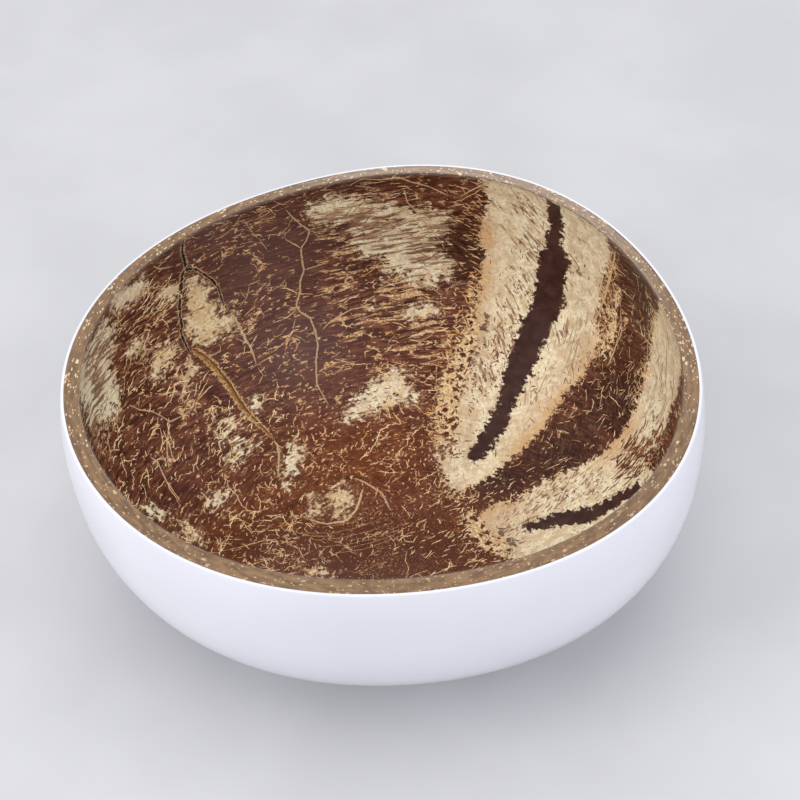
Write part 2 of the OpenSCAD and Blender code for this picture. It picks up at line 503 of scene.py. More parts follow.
class Recipe:
    """Mixes a material, or a group used in several, from shader nodes."""

    def __init__(self, tree):
        self.tree = tree

    def add(self, kind, inputs, **settings):
        node = self.tree.nodes.new(kind)
        for name, value in settings.items():
            setattr(node, name, value)
        self.feed(node, inputs)
        return node

    def feed(self, node, inputs):
        """Gives a node its inputs, by name or number, each a socket or a value."""
        for key, value in inputs.items():
            if isinstance(value, bpy.types.NodeSocket):
                self.tree.links.new(value, node.inputs[key])
            else:
                node.inputs[key].default_value = value

    def reckon(self, kind, first, *others):
        for other in others:
            first = self.add("ShaderNodeMath", {0: first, 1: other}, operation=kind).outputs[0]
        return first

    def plus(self, *values):
        return self.reckon("ADD", *values)

    def minus(self, one, two):
        return self.reckon("SUBTRACT", one, two)

    def times(self, *values):
        return self.reckon("MULTIPLY", *values)

    def most(self, *masks):
        return self.reckon("MAXIMUM", *masks)

    def unsigned(self, value):
        return self.add("ShaderNodeMath", {0: value}, operation="ABSOLUTE").outputs[0]

    def swing(self, noise, reach):
        """Makes a noise that lies about a half swing about nothing, reach from end to end."""
        return self.times(self.minus(noise, 0.5), reach)

    def vector(self, kind, *vectors):
        return self.add("ShaderNodeVectorMath", dict(enumerate(vectors)), operation=kind).outputs

    def scaled(self, vector, factors):
        factors = factors if isinstance(factors, tuple) else (factors,) * 3
        return self.vector("MULTIPLY", vector, factors)[0]

    def shifted(self, vector, by):
        return self.vector("ADD", vector, by)[0]

    def cloud(self, vector, scale, detail=3.0, roughness=0.55, distortion=0.0, out="Fac"):
        noise = {"Vector": vector, "Scale": scale, "Detail": detail, "Roughness": roughness,
                 "Distortion": distortion}
        return self.add("ShaderNodeTexNoise", noise).outputs[out]

    def push(self, vector, scale, detail, reach):
        """A cloudy push, reach mm from end to end along each axis."""
        colour = self.cloud(vector, scale, detail, out="Color")
        return self.scaled(self.shifted(colour, (-0.5, -0.5, -0.5)), reach)

    def cells(self, vector, scale, feature="F1"):
        return self.add("ShaderNodeTexVoronoi", {"Vector": vector, "Scale": scale},
                        feature=feature).outputs

    def ramp(self, value, low, high, out_low=0.0, out_high=1.0):
        """Goes softly from out_low to out_high while value goes from low to high."""
        return self.add("ShaderNodeMapRange", {"Value": value, "From Min": low, "From Max": high,
                                               "To Min": out_low, "To Max": out_high},
                        interpolation_type="SMOOTHSTEP").outputs["Result"]

    def blend(self, factor, *colours):
        """Goes from one colour to another. Each is a socket, or read off the photograph."""
        first, second = (paint(*c) if isinstance(c, tuple) else c for c in colours)
        return self.add("ShaderNodeMix", {0: factor, 6: first, 7: second},
                        data_type="RGBA").outputs[2]

    def washed(self, colour, *coats):
        """Lays coats over a colour, each with its mask and its own colour."""
        for mask, coat in coats:
            colour = self.blend(mask, colour, coat)
        return colour

    def specks(self, vector, scale, missing, size):
        return self.add("ShaderNodeGroup", {"Place": vector, "Scale": scale, "Missing": missing,
                                            "Size": size}, node_tree=specks_group).outputs

    def bump(self, height, distance, strength):
        return self.add("ShaderNodeBump", {"Height": height, "Distance": distance,
                                           "Strength": strength}).outputs[0]

    def stored(self, name, out="Fac"):
        return self.add("ShaderNodeAttribute", {}, attribute_name=name).outputs[out]

    def parts(self, vector):
        return self.add("ShaderNodeSeparateXYZ", {0: vector}).outputs

    def place_mm(self):
        return self.scaled(self.add("ShaderNodeTexCoord", {}).outputs["Object"], 1000)


def material(name, kind="ShaderNodeBsdfPrincipled"):
    """A material, the recipe to mix it with, and its last shader."""
    made = bpy.data.materials.new(name)
    made.use_nodes = True
    made.node_tree.nodes.clear()
    mix = Recipe(made.node_tree)
    body = mix.add(kind, {})
    mix.add("ShaderNodeOutputMaterial", {"Surface": body.outputs[0]})
    return made, mix, body


def mixed_specks():
    """Round specks of many sizes, some of them missing. The rim's pores, the short dashes
    of fibre in the hollow and the dust in the lacquer are all made with it."""
    tree = bpy.data.node_groups.new("specks", "ShaderNodeTree")
    for name, kind in (("Place", "Vector"), ("Scale", "Float"), ("Missing", "Float"), ("Size", "Float")):
        tree.interface.new_socket(name, in_out="INPUT", socket_type="NodeSocket" + kind)
    for name in ("Mask", "Depth"):
        tree.interface.new_socket(name, in_out="OUTPUT", socket_type="NodeSocketFloat")
    mix = Recipe(tree)
    given = mix.add("NodeGroupInput", {}).outputs
    cells = mix.cells(given["Place"], given["Scale"])
    size = mix.ramp(mix.parts(cells["Color"])[0], given["Missing"], 1.0, 0.0, given["Size"])
    depth = mix.minus(size, cells["Distance"])
    mix.add("NodeGroupOutput", {"Mask": mix.ramp(depth, 0.0, 0.06), "Depth": depth})
    return tree


specks_group = mixed_specks()

hollow_look, mix, body = material("scraped hollow of the shell")
place = mix.place_mm()
grain = mix.stored("grain", "Vector")
zone = {name: mix.stored(name) for name in zones}
stripe_in, core_in, patch_in, netted_in = (mix.stored(name) for name in depths)

wander = mix.push(place, 0.09, 2.0, 7)
flutter = mix.push(place, 0.45, 3.0, 2.2)
quiver = mix.push(place, 1.4, 2.0, 0.8)
loose_place = mix.shifted(mix.shifted(place, wander), flutter)


def along_grain(finer, push, across, along):
    """Coordinates drawn out round the growth pole, because fibres lie that way. A push
    sways them across the arc and along it."""
    return mix.shifted(mix.scaled(grain, (finer, finer, 1)),
                       mix.scaled(push, (across, across, along)))


def cell_walls(vector, scale):
    """Distance to the nearest wall of a net of cells."""
    return mix.cells(vector, scale, "DISTANCE_TO_EDGE")["Distance"]


speckle = mix.cloud(place, 1.5, 3.0, 0.6)
blots = mix.cloud(mix.shifted(place, flutter), 0.62, 4.0, 0.68)
blotches = mix.cloud(loose_place, 0.35, 4.0, 0.6)
clouds = mix.cloud(loose_place, 0.11, 3.0, 0.6)
long_grain = along_grain(11, wander, 0.12, 0.45)
streaks = mix.cloud(long_grain, 0.9, 5.0, 0.62, 0.25)
fine_streaks = mix.cloud(long_grain, 3.0, 3.0, 0.65, 0.3)
hairs = mix.cloud(along_grain(8, wander, 0.1, 0.4), 1.7, 2.5, 0.6, 0.2)

# On the right the tool left hairlines and flecks that lean off the grain.
leaning = mix.vector("DOT_PRODUCT", grain, (66, -38, 1))["Value"]
leaning_depth = mix.add("ShaderNodeCombineXYZ", {2: leaning}).outputs[0]
hairlines_at = mix.shifted(mix.scaled(grain, (6, 6, 0)), leaning_depth)
hairlines = mix.unsigned(mix.minus(mix.cloud(hairlines_at, 1.3, 2.0, 0.6), 0.5))
flecks_at = mix.shifted(mix.scaled(grain, (34, 34, 0)), leaning_depth)
flecks_at = mix.shifted(flecks_at, mix.scaled(quiver, 0.5))
fleck_level = mix.ramp(zone["pitted"], 0.05, 0.8, 0.645, 0.535)
flecks = mix.ramp(mix.minus(mix.cloud(flecks_at, 1.0, 2.0, 0.5), fleck_level), -0.01, 0.07)

# The dark layer is red-brown, warmer over the floor, and greyer up on the left, where the varnish's grey
# sheen is painted into its colour.
near_floor = mix.times(mix.ramp(mix.parts(place)[1], 8, -14), zone["warm"])
dark = mix.washed(
    mix.blend(mix.ramp(streaks, 0.35, 0.65), (76, 36, 23), (118, 66, 46)),
    (mix.ramp(clouds, 0.38, 0.68, 0, 0.6), (70, 31, 20)),
    (mix.ramp(hairs, 0.51, 0.64, 0, 0.6), (152, 98, 70)),
    (mix.ramp(hairs, 0.46, 0.34, 0, 0.7), (46, 22, 15)),
    (mix.times(zone["warm"], 0.65), (120, 58, 20)),
    (mix.times(near_floor, 0.95), (86, 36, 2)),
    (mix.times(mix.ramp(blotches, 0.42, 0.30), zone["warm"]), (154, 96, 42)),
    (mix.times(mix.ramp(blotches, 0.55, 0.68), zone["warm"]), (66, 30, 10)),
    # Painted sheen: the varnish's grey reflection up on the left.
    (mix.times(zone["painted_sheen_grey"], 0.55), (108, 82, 80)),
    (mix.times(zone["deep"], 0.8), (40, 17, 10)),
    (mix.times(mix.ramp(hairlines, 0.03, 0.006, 0, 0.4), zone["deep"]), (142, 100, 78)))

# The pale layer is cream, with brown flecks and scratches, and tan or golden in places.
scratches = mix.cloud(mix.shifted(mix.scaled(grain, (150, 150, 0.16)), quiver), 0.55, 2.0, 0.5)
cream = mix.washed(
    mix.blend(mix.ramp(speckle, 0.25, 0.75), (228, 203, 162), (255, 246, 216)),
    (mix.ramp(blotches, 0.44, 0.60, 0, 0.8), (216, 187, 148)),
    (mix.ramp(streaks, 0.55, 0.72, 0, 0.45), (186, 148, 112)),
    (mix.times(flecks, 0.8), (128, 80, 54)),
    (mix.times(mix.ramp(scratches, 0.60, 0.66, 0, 0.7), zone["scratched"]), (150, 108, 78)),
    (mix.times(zone["gilded"], 0.45), (204, 158, 112)),
    # Paler cream, and on the left wall painted light that brightens the cream in place of lamp light.
    (mix.times(zone["paler_cream_and_painted_light"], 0.85), (250, 240, 206)),
    (mix.times(zone["golden"], mix.ramp(speckle, 0.3, 0.7, 0.75, 0.25)), (222, 184, 126)))

# Each stripe's edge is ragged, fringed by the fibres that run round the bowl, and golden.
teeth = mix.cloud(along_grain(9, flutter, 0.4, 0.6), 1.0, 4.0, 0.7)
ragged = mix.plus(mix.swing(teeth, 6.0), mix.swing(streaks, 3.5), mix.swing(speckle, 3.5))
stripe_depth = mix.plus(stripe_in, ragged, mix.swing(blots, 5.0))
stripe_mask = mix.ramp(stripe_depth, -0.2, 0.2)
gold_breadth = mix.plus(stripe_depth, mix.ramp(blotches, 0.35, 0.65, -2, 2))
edge_gold = mix.times(mix.ramp(gold_breadth, 3.4, 0.4), mix.ramp(zone["gilded"], 0.1, 0.8, 0.15, 0.65))
cream_edge = mix.blend(edge_gold, cream, (212, 160, 100))
chips = mix.cloud(along_grain(17, flutter, 0.5, 0.7), 1.45, 3.0, 0.6)
core_edge = mix.plus(mix.times(ragged, 0.42), mix.swing(chips, 3.0), mix.swing(blots, 6.0))
core_mask = mix.ramp(mix.plus(core_in, core_edge), -0.45, -0.2)
core_colour = mix.blend(mix.ramp(blotches, 0.35, 0.65), (58, 32, 26), (76, 48, 41))

# The patches are rubbed through along the fibres, most where they look streaky.
rubbed_along = mix.times(mix.plus(mix.swing(streaks, 17.0), mix.swing(hairs, 14.0)),
                         mix.ramp(zone["streaky"], 0.1, 0.9, 0.3, 0.75))
patch_depth = mix.plus(patch_in, rubbed_along, mix.swing(blots, 15.0))
through = mix.cloud(along_grain(7, wander, 0.1, 0.3), 1.15, 4.0, 0.6)
through_level = mix.ramp(zone["streaky"], 0.1, 0.9, 0.33, 0.49)
patch_mask = mix.times(mix.ramp(patch_depth, -0.1, 1.5),
                       mix.ramp(mix.minus(through, through_level), -0.02, 0.05, 0.1, 1))
thin_mask = mix.ramp(patch_depth, -2.0, 1.5, 0, 0.5)
thin_colour = mix.blend(mix.ramp(hairs, 0.40, 0.60), (136, 92, 66), (196, 154, 118))

# Thin veins, dashes, chips and bands of fibre show in the dark layer.
net = cell_walls(along_grain(24, mix.shifted(wander, flutter), 1, 1), 0.19)
net_width = mix.ramp(mix.cloud(place, 0.25, 2.0), 0.5, 0.66, 0.0, 0.036)
net_mask = mix.ramp(mix.minus(net_width, net), 0.0, 0.014)
dash_size = mix.ramp(mix.cloud(place, 0.3, 2.0), 0.42, 0.66, 0.04, 0.34)
dash_mask = mix.specks(along_grain(20, flutter, 0.35, 0.5), 1.25, 0.2, dash_size)["Mask"]
chip_level = mix.ramp(clouds, 0.35, 0.62, 0.575, 0.65)
chip_mask = mix.ramp(mix.minus(chips, chip_level), 0.0, 0.03)
bands = mix.cloud(along_grain(6, wander, 0.1, 0.4), 0.95, 4.0, 0.62)
band_level = mix.ramp(zone["banded"], 0.1, 0.9, 0.74, 0.545)
band_mask = mix.ramp(mix.minus(bands, band_level), 0.0, 0.04)
fibre_share = mix.ramp(zone["deep"], 0.15, 0.6, 1.0, 0.12)

# Beside the stripes the fibres are a lace, and inside them the dark layer shows in holes.
lace_place = mix.shifted(place, mix.shifted(flutter, quiver))
lace_width = mix.times(mix.ramp(stripe_in, -5.5, -0.5, 0.0, 0.15), mix.most(zone["eaten"], zone["rooted"]))
lace_mask = mix.ramp(mix.minus(lace_width, cell_walls(lace_place, 0.62)), 0.0, 0.04)
fibres = mix.most(mix.times(mix.most(net_mask, dash_mask, chip_mask, band_mask), fibre_share),
                  lace_mask)
fibre_colour = mix.blend(mix.ramp(speckle, 0.38, 0.60), (182, 124, 76), (240, 206, 158))
holes = mix.cells(mix.shifted(lace_place, mix.scaled(quiver, 1.5)), 0.62)
hole_zone = mix.plus(zone["eaten"], mix.ramp(blotches, 0.3, 0.7, -0.3, 0.3))
hole_size = mix.times(mix.ramp(hole_zone, 0.2, 0.6),
                      mix.ramp(mix.parts(holes["Color"])[0], 0.1, 0.8, 0.22, 0.62))
hole_mask = mix.times(mix.ramp(mix.minus(hole_size, holes["Distance"]), 0.0, 0.08),
                      mix.ramp(stripe_in, 5.5, 3.5))
netted_mask = mix.ramp(mix.plus(netted_in, mix.times(ragged, 0.5)), -0.3, 0.3)
threads = cell_walls(mix.shifted(lace_place, mix.scaled(flutter, 0.8)), 0.48)
threads_width = mix.ramp(blots, 0.36, 0.62, 0.025, 0.23)
threads_colour = mix.blend(mix.ramp(speckle, 0.35, 0.65), (208, 164, 112), (244, 220, 176))
netting = mix.blend(mix.ramp(mix.minus(threads, threads_width), 0.04, 0.0), dark, threads_colour)


def line_masks(name):
    """A drawn line's body, its middle and the painted shade on one side, cut off beyond 2 mm."""
    across, gap, _ = mix.parts(mix.stored(name, "Vector"))
    wobble = mix.ramp(mix.cloud(place, 1.3, 2.0), 0.3, 0.7, -0.4, 0.4)
    size = mix.plus(mix.unsigned(across), wobble)
    near = mix.ramp(gap, 2.2, 1.8)
    shaded_side = mix.times(mix.ramp(across, 0.0, 0.2), mix.ramp(across, 0.6, 0.4))
    return (mix.times(mix.ramp(size, 1.35, 0.65), near),
            mix.times(mix.ramp(size, 0.7, 0.4), near), mix.times(shaded_side, near))


vein_body, _, _ = line_masks("vein")
fork_body, fork_middle, _ = line_masks("fork")
crack_body, crack_middle, _ = line_masks("crack")
groove_body, groove_middle, groove_painted_shade = line_masks("groove")
groove_colour = mix.blend(mix.ramp(speckle, 0.35, 0.65), (128, 80, 34), (196, 138, 72))
colour = mix.washed(
    dark,
    (mix.times(fibres, 0.9), fibre_colour),
    (thin_mask, thin_colour),
    (patch_mask, cream),
    (stripe_mask, cream_edge),
    (mix.times(hole_mask, 0.85), dark),
    (netted_mask, netting),
    (core_mask, core_colour),
    (vein_body, (222, 184, 138)),
    (fork_body, (220, 186, 144)),
    (mix.times(fork_middle, 0.25), (110, 84, 70)),
    (groove_body, (232, 192, 134)),
    (groove_middle, groove_colour),
    # Painted shade down one side of the groove.
    (mix.times(groove_painted_shade, 0.85), (78, 46, 26)),
    (crack_body, (214, 178, 138)),
    # The crack's dark middle is painted shade in its gap.
    (crack_middle, (44, 32, 28)))
proud_lines = mix.most(vein_body, fork_body, crack_body, groove_body)
relief = mix.plus(mix.times(mix.most(stripe_mask, patch_mask), 0.05), mix.times(fibres, 0.06),
                  mix.times(proud_lines, 0.16), mix.times(fine_streaks, 0.10),
                  mix.times(mix.most(crack_middle, groove_middle), -0.45))
mix.feed(body, {"Base Color": colour, "Normal": mix.bump(relief, mm, 1.0), "Roughness": 0.6,
                "Specular IOR Level": 0.2})

cut_look, mix, body = material("sawn and sanded rim of the shell")
place = mix.place_mm()
across_rim = mix.scaled(place, (1, 1, 0))
bearing = mix.vector("NORMALIZE", across_rim)[0]
radius = mix.vector("LENGTH", across_rim)["Value"]
rings_at = mix.shifted(mix.scaled(bearing, (30, 30, 0)),
                       mix.add("ShaderNodeCombineXYZ", {2: radius}).outputs[0])
layers = mix.cloud(mix.scaled(rings_at, (0.5, 0.5, 1)), 1.2, 4.0, 0.6, 0.4)
grit = mix.cloud(place, 5.0, 3.0, 0.6)
colour = mix.washed(
    mix.blend(mix.ramp(layers, 0.3, 0.7), (99, 72, 44), (142, 109, 72)),
    (mix.ramp(grit, 0.48, 0.7, 0, 0.5), (88, 64, 50)),
    (mix.ramp(mix.cloud(rings_at, 0.8, 3.0), 0.58, 0.68, 0, 0.6), (98, 64, 44)))
open_pores = mix.ramp(mix.parts(place)[1], -60, 10, 0.5, 1.0)
pored_at = mix.shifted(rings_at, mix.push(place, 1.6, 2.0, 0.45))
tube = mix.blend(grit, (206, 170, 116), (246, 230, 196))
for fineness, missing, size in ((0.7, 0.35, 0.26), (1.2, 0.25, 0.28), (2.1, 0.2, 0.34)):
    pores = mix.specks(pored_at, fineness, missing, size)
    shaded_tube = mix.blend(mix.ramp(pores["Depth"], 0.10, 0.2, 0, 0.6), tube, (150, 116, 84))
    colour = mix.blend(mix.times(pores["Mask"], open_pores), colour, shaded_tube)
mix.feed(body, {"Base Color": colour, "Normal": mix.bump(grit, 0.05 * mm, 0.6), "Roughness": 0.4,
                "Coat Weight": 1.0, "Coat Roughness": 0.14})

shell.data.materials.append(hollow_look)
shell.data.materials.append(cut_look)
# The rim, and the outside under the lacquer, show the cut shell.
for face in shell.data.polygons:
    middle = face.center
    mean_radius = math.hypot(middle.x, middle.y) / natural_outline(math.atan2(middle.y, middle.x))
    if middle.z > bowl_height - sawn_edge * 0.6 or wall_share(mean_radius, middle.z) == 0:
        face.material_index = 1
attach(shell, "root")
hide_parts("coconut_shell")


# The shell's fibres.
# Vessels and fibres of the nut that end in its hard shell. Scraping leaves them as thin
# pale threads that stand a hair proud of the hollow, mostly lying round the growth pole.

fibre_height = 0.05 * mm
fibre_sunk = 0.04 * mm
highest_fibre = bowl_height - 0.8 * mm
into_stripe = 0.8             # mm that pale fibres may reach into a stripe
beside_crack = 1.4            # mm kept free beside the crack
branching = 0.25              # share of threads that grow out of an earlier one
chance = np.random.default_rng(8)


def thread(start, heading, length, width, bend, axis):
    """Walks over the wall from start. heading is in degrees from the way round the axis,
    and bend is how much it bows and wobbles. Gives points with their half widths."""
    points = []
    spot = pushed_to_wall(start)
    ahead = math.radians(heading)
    bow = chance.normal(0, math.radians(bend * 0.3))
    steps = 4 if length < 1.8 * mm else 9
    for i in range(steps + 1):
        arm = (spot - growth_middle).normalized()
        round_axis = axis.cross(arm).normalized()
        down = arm.cross(round_axis)
        stray = ahead + bow * i + chance.normal(0, math.radians(bend * 1.4))
        way = round_axis * math.cos(stray) + down * math.sin(stray)
        swelling = math.sin(math.pi * (i + 0.35) / (steps + 0.7)) ** 0.5
        points.append((spot, arm, width / 2 * swelling * chance.uniform(0.55, 1.35), way))
        spot = pushed_to_wall(spot + way * (length / steps))
    return points


def lay_thread(bm, points, tone, layer):
    """Adds a thread as a low three-sided ridge, closed at both ends."""
    rows = []
    for spot, arm, half, way in points:
        side = arm.cross(way).normalized()
        rows.append([bm.verts.new(spot + arm * fibre_sunk - side * half),
                     bm.verts.new(spot - arm * fibre_height),
                     bm.verts.new(spot + arm * fibre_sunk + side * half)])
    for row in rows:
        for vert in row:
            vert[layer] = tone
    for one, two in zip(rows, rows[1:]):
        for i in range(3):
            bm.faces.new((one[i], one[i - 1], two[i - 1], two[i]))
    bm.faces.new(rows[0])
    bm.faces.new(rows[-1][::-1])


# Where fibres show: middle pixel, reach in mm along the wall, how many tufts, length and
# width in mm, heading and its spread in degrees, bend, and tone from 0 tan to 1 cream. Bits
# of the brown skin that are left on the pale layer have the tone -1. Headings on the walls
# are measured from the way round the pole, and on the floor from the way to the left.
floor_beds = [
    ((320, 462), 18, 38, (0.9, 3.2), (0.30, 0.58), 110, 40, 18, 0.45),
    ((420, 450), 16, 38, (1.0, 4.0), (0.28, 0.54), 130, 34, 18, 0.35),
    ((410, 535), 11, 26, (0.8, 3.0), (0.24, 0.46), 135, 26, 12, 0.60),
    ((470, 535), 16, 64, (0.8, 3.0), (0.24, 0.46), 146, 8, 5, 0.80),
    ((490, 500), 10, 26, (0.8, 2.6), (0.24, 0.44), 142, 12, 6, 0.75),
    ((235, 515), 15, 40, (1.2, 4.4), (0.24, 0.50), 112, 34, 16, 0.60),
    ((290, 562), 10, 40, (1.2, 4.0), (0.20, 0.38), 20, 40, 12, 0.65),
    ((410, 430), 18, 50, (0.4, 1.1), (0.36, 0.60), 120, 40, 10, 0.50),
    ((320, 455), 20, 44, (0.4, 1.1), (0.34, 0.56), 120, 40, 10, 0.45),
    ((470, 470), 14, 26, (0.4, 1.0), (0.30, 0.50), 131, 20, 10, 0.40),
]
wall_beds = [
    ((140, 400), 20, 36, (2.2, 7.0), (0.28, 0.52), -14, 8, 12, 0.75),
    ((150, 325), 13, 32, (2.4, 8.0), (0.26, 0.50), -14, 8, 12, 0.75),
    ((125, 465), 13, 22, (2.0, 6.5), (0.24, 0.46), -16, 9, 13, 0.75),
    ((235, 232), 11, 34, (1.6, 5.0), (0.18, 0.36), -6, 22, 12, 0.55),
    ((245, 330), 13, 26, (1.4, 4.4), (0.24, 0.46), -14, 10, 12, 0.55),
    ((225, 430), 16, 28, (1.6, 5.4), (0.28, 0.56), -20, 9, 12, 0.75),
    ((360, 300), 18, 40, (1.6, 7.0), (0.22, 0.42), 4, 8, 8, 0.50),
    ((380, 215), 18, 24, (2.0, 7.0), (0.18, 0.38), 5, 8, 6, 0.55),
    ((300, 380), 15, 12, (0.9, 3.2), (0.20, 0.42), 0, 26, 14, 0.45),
    ((390, 350), 17, 26, (1.0, 4.0), (0.22, 0.44), 4, 14, 14, 0.45),
    ((466, 215), 7, 14, (1.4, 4.0), (0.26, 0.46), 24, 16, 10, 0.30),
    ((466, 285), 8, 16, (1.4, 3.8), (0.28, 0.50), 22, 18, 12, 0.25),
    ((450, 345), 8, 10, (1.0, 3.0), (0.28, 0.52), 14, 36, 18, 0.35),
    ((140, 400), 22, 60, (0.5, 1.7), (0.28, 0.50), -14, 14, 10, 0.65),
    ((150, 325), 14, 26, (0.5, 1.7), (0.26, 0.46), -14, 14, 10, 0.65),
    ((645, 325), 13, 30, (1.4, 5.0), (0.13, 0.24), 112, 18, 4, 0.85),
    ((630, 390), 13, 40, (0.8, 3.4), (0.15, 0.30), 100, 30, 6, 0.85),
    ((560, 445), 12, 24, (0.8, 3.0), (0.18, 0.38), 96, 34, 9, 0.60),
]
# Along the stripes' edges fibres reach out of the pale layer like a comb.
comb = [(spot, 2.6, 7, (1.2, 3.2), (0.30, 0.50), 20, 14, 8, 0.32) for spot in (
    (482, 185), (480, 205), (477, 228), (475, 250), (474, 272), (472, 295), (467, 315), (460, 335),
    (450, 358), (443, 382), (438, 408), (436, 432))]
roots = [(spot, 2.6, 6, (1.4, 3.6), (0.22, 0.38), 50, 40, 12, 0.35) for spot in (
    (613, 262), (609, 280), (604, 298), (602, 316), (603, 334), (596, 354), (582, 382), (562, 405),
    (545, 428), (522, 450), (655, 305), (650, 335), (640, 372))]
brown_bits = [
    ((526, 204), 5, 20, (0.8, 3.0), (0.26, 0.50), 60, 12, 5, -1),
    ((526, 245), 3, 14, (0.5, 1.5), (0.26, 0.46), 80, 30, 6, -1),
    ((519, 288), 4, 18, (0.5, 1.5), (0.28, 0.50), 80, 30, 6, -1),
    ((506, 330), 4, 30, (0.5, 1.5), (0.28, 0.52), 80, 30, 6, -1),
    ((492, 362), 4, 28, (0.5, 1.5), (0.28, 0.52), 60, 40, 6, -1),
    ((468, 390), 5, 16, (0.5, 1.5), (0.28, 0.50), 30, 50, 6, -1),
    ((452, 446), 5, 26, (0.5, 1.6), (0.28, 0.52), 30, 50, 6, -1),
    ((572, 264), 3, 8, (0.6, 1.6), (0.28, 0.46), 110, 30, 6, -1),
    ((562, 318), 3, 6, (0.6, 1.6), (0.28, 0.46), 110, 30, 6, -1),
    ((538, 378), 3, 7, (0.6, 1.6), (0.28, 0.46), 110, 30, 6, -1),
    ((640, 456), 4, 34, (1.4, 4.0), (0.44, 0.90), 84, 8, 4, -1),
    ((632, 440), 3, 14, (1.4, 3.0), (0.40, 0.80), 88, 8, 4, -1),
    ((655, 436), 3, 18, (1.2, 3.0), (0.40, 0.80), 84, 8, 4, -1),
    ((662, 385), 6, 12, (2.0, 5.0), (0.10, 0.20), 105, 12, 4, -1),
    ((586, 366), 3, 16, (0.6, 1.8), (0.22, 0.42), 36, 14, 6, -1),
    ((566, 392), 3, 14, (0.6, 1.8), (0.22, 0.42), 40, 14, 6, -1),
    ((548, 424), 3, 14, (0.6, 1.8), (0.22, 0.42), 40, 14, 6, -1),
    ((572, 350), 6, 8, (1.6, 4.0), (0.10, 0.19), 112, 10, 4, -1),
    ((598, 492), 6, 16, (0.5, 1.4), (0.26, 0.46), 80, 30, 6, -1),
    ((560, 484), 6, 22, (0.6, 2.0), (0.20, 0.40), 100, 24, 5, -1),
    ((585, 528), 5, 12, (0.5, 1.2), (0.24, 0.42), 80, 30, 6, -1),
    ((512, 528), 5, 14, (0.5, 1.4), (0.24, 0.46), 80, 30, 6, -1),
    ((96, 350), 8, 26, (1.5, 5.0), (0.14, 0.34), 0, 10, 4, -1),
    ((98, 412), 8, 26, (1.5, 5.0), (0.14, 0.34), -8, 10, 4, -1),
    ((212, 318), 6, 12, (0.8, 2.5), (0.14, 0.30), -14, 14, 6, -1),
    ((355, 215), 9, 22, (1.6, 6.0), (0.22, 0.50), 4, 7, 4, -1),
    ((428, 235), 8, 18, (1.4, 5.0), (0.22, 0.48), 10, 8, 4, -1),
    ((385, 392), 6, 10, (0.8, 2.4), (0.18, 0.36), 4, 12, 6, -1),
]
# The near wall's beds have a bearing and a height for their middle.
near_wall_beds = [((b, 30), 26, 36, (1.4, 5.2), (0.24, 0.50), 0, 30, 18, 0.60)
                  for b in (-150, -122, -95, -70)]
near_wall_beds += [((b, z), 7, 16, (0.6, 2.2), (0.22, 0.44), 80, 26, 6, -1)
                   for b, z in ((-44, 13), (-50, 20), (-55, 27), (-42, 34))]
near_wall_beds += [((b, z), 3, 7, (1.4, 3.6), (0.24, 0.42), 40, 30, 12, 0.35)
                   for b, z in ((-61, 13), (-66, 21), (-62, 28), (-57, 35), (-49, 43))]

shell_tree = KDTree(len(shell_spots))
for i, spot in enumerate(shell_spots):
    shell_tree.insert(spot, i)
shell_tree.balance()


def has_room(spot, tone):
    """Pale fibres show beside the stripes and the crack, brown bits on pale places."""
    i = shell_tree.find(spot)[1]
    if tone < 0:
        return max(depths["stripes"][i], depths["patches"][i]) > 0 and depths["cores"][i] < 0
    return depths["stripes"][i] < into_stripe and crack_gap[i] > beside_crack


bm = bmesh.new()
tone_layer = bm.verts.layers.float.new("tone")
for bed, axis, place_of in (
        [(bed, Vector((0, 1, 0)), seen_at) for bed in floor_beds]
        + [(bed, growth_pole, seen_at) for bed in wall_beds + comb + roots + brown_bits]
        + [(bed, growth_pole, on_wall) for bed in near_wall_beds]):
    spot, reach, tufts, lengths, widths, heading, spread, bend, tone = bed
    middle = place_of(*spot)
    for _ in range(tufts):
        tuft = middle + Vector(chance.normal(0, reach * 0.5, 3)) * mm
        tuft_heading = heading + chance.normal(0, spread)
        grown = []
        for _ in range(chance.integers(1, 6)):
            lie = tuft_heading + chance.normal(0, 10)
            if grown and chance.random() < branching:
                start = grown[chance.integers(len(grown))][0]
                lie += chance.choice([-1, 1]) * chance.uniform(15, 50)
            else:
                start = pushed_to_wall(tuft + Vector(chance.normal(0, 2.2, 3)) * mm)
            if not has_room(start, tone):
                continue
            length = chance.uniform(*lengths) * chance.choice([0.35, 0.7, 1]) * mm
            strand = thread(start, lie, length, chance.uniform(*widths) * mm, bend, axis)
            if max(p[0].z for p in strand) < highest_fibre:
                shade = float(np.clip(chance.normal(tone, 0.25), 0, 1)) if tone >= 0 else tone
                lay_thread(bm, strand, shade, tone_layer)
                grown += strand[1:-1]

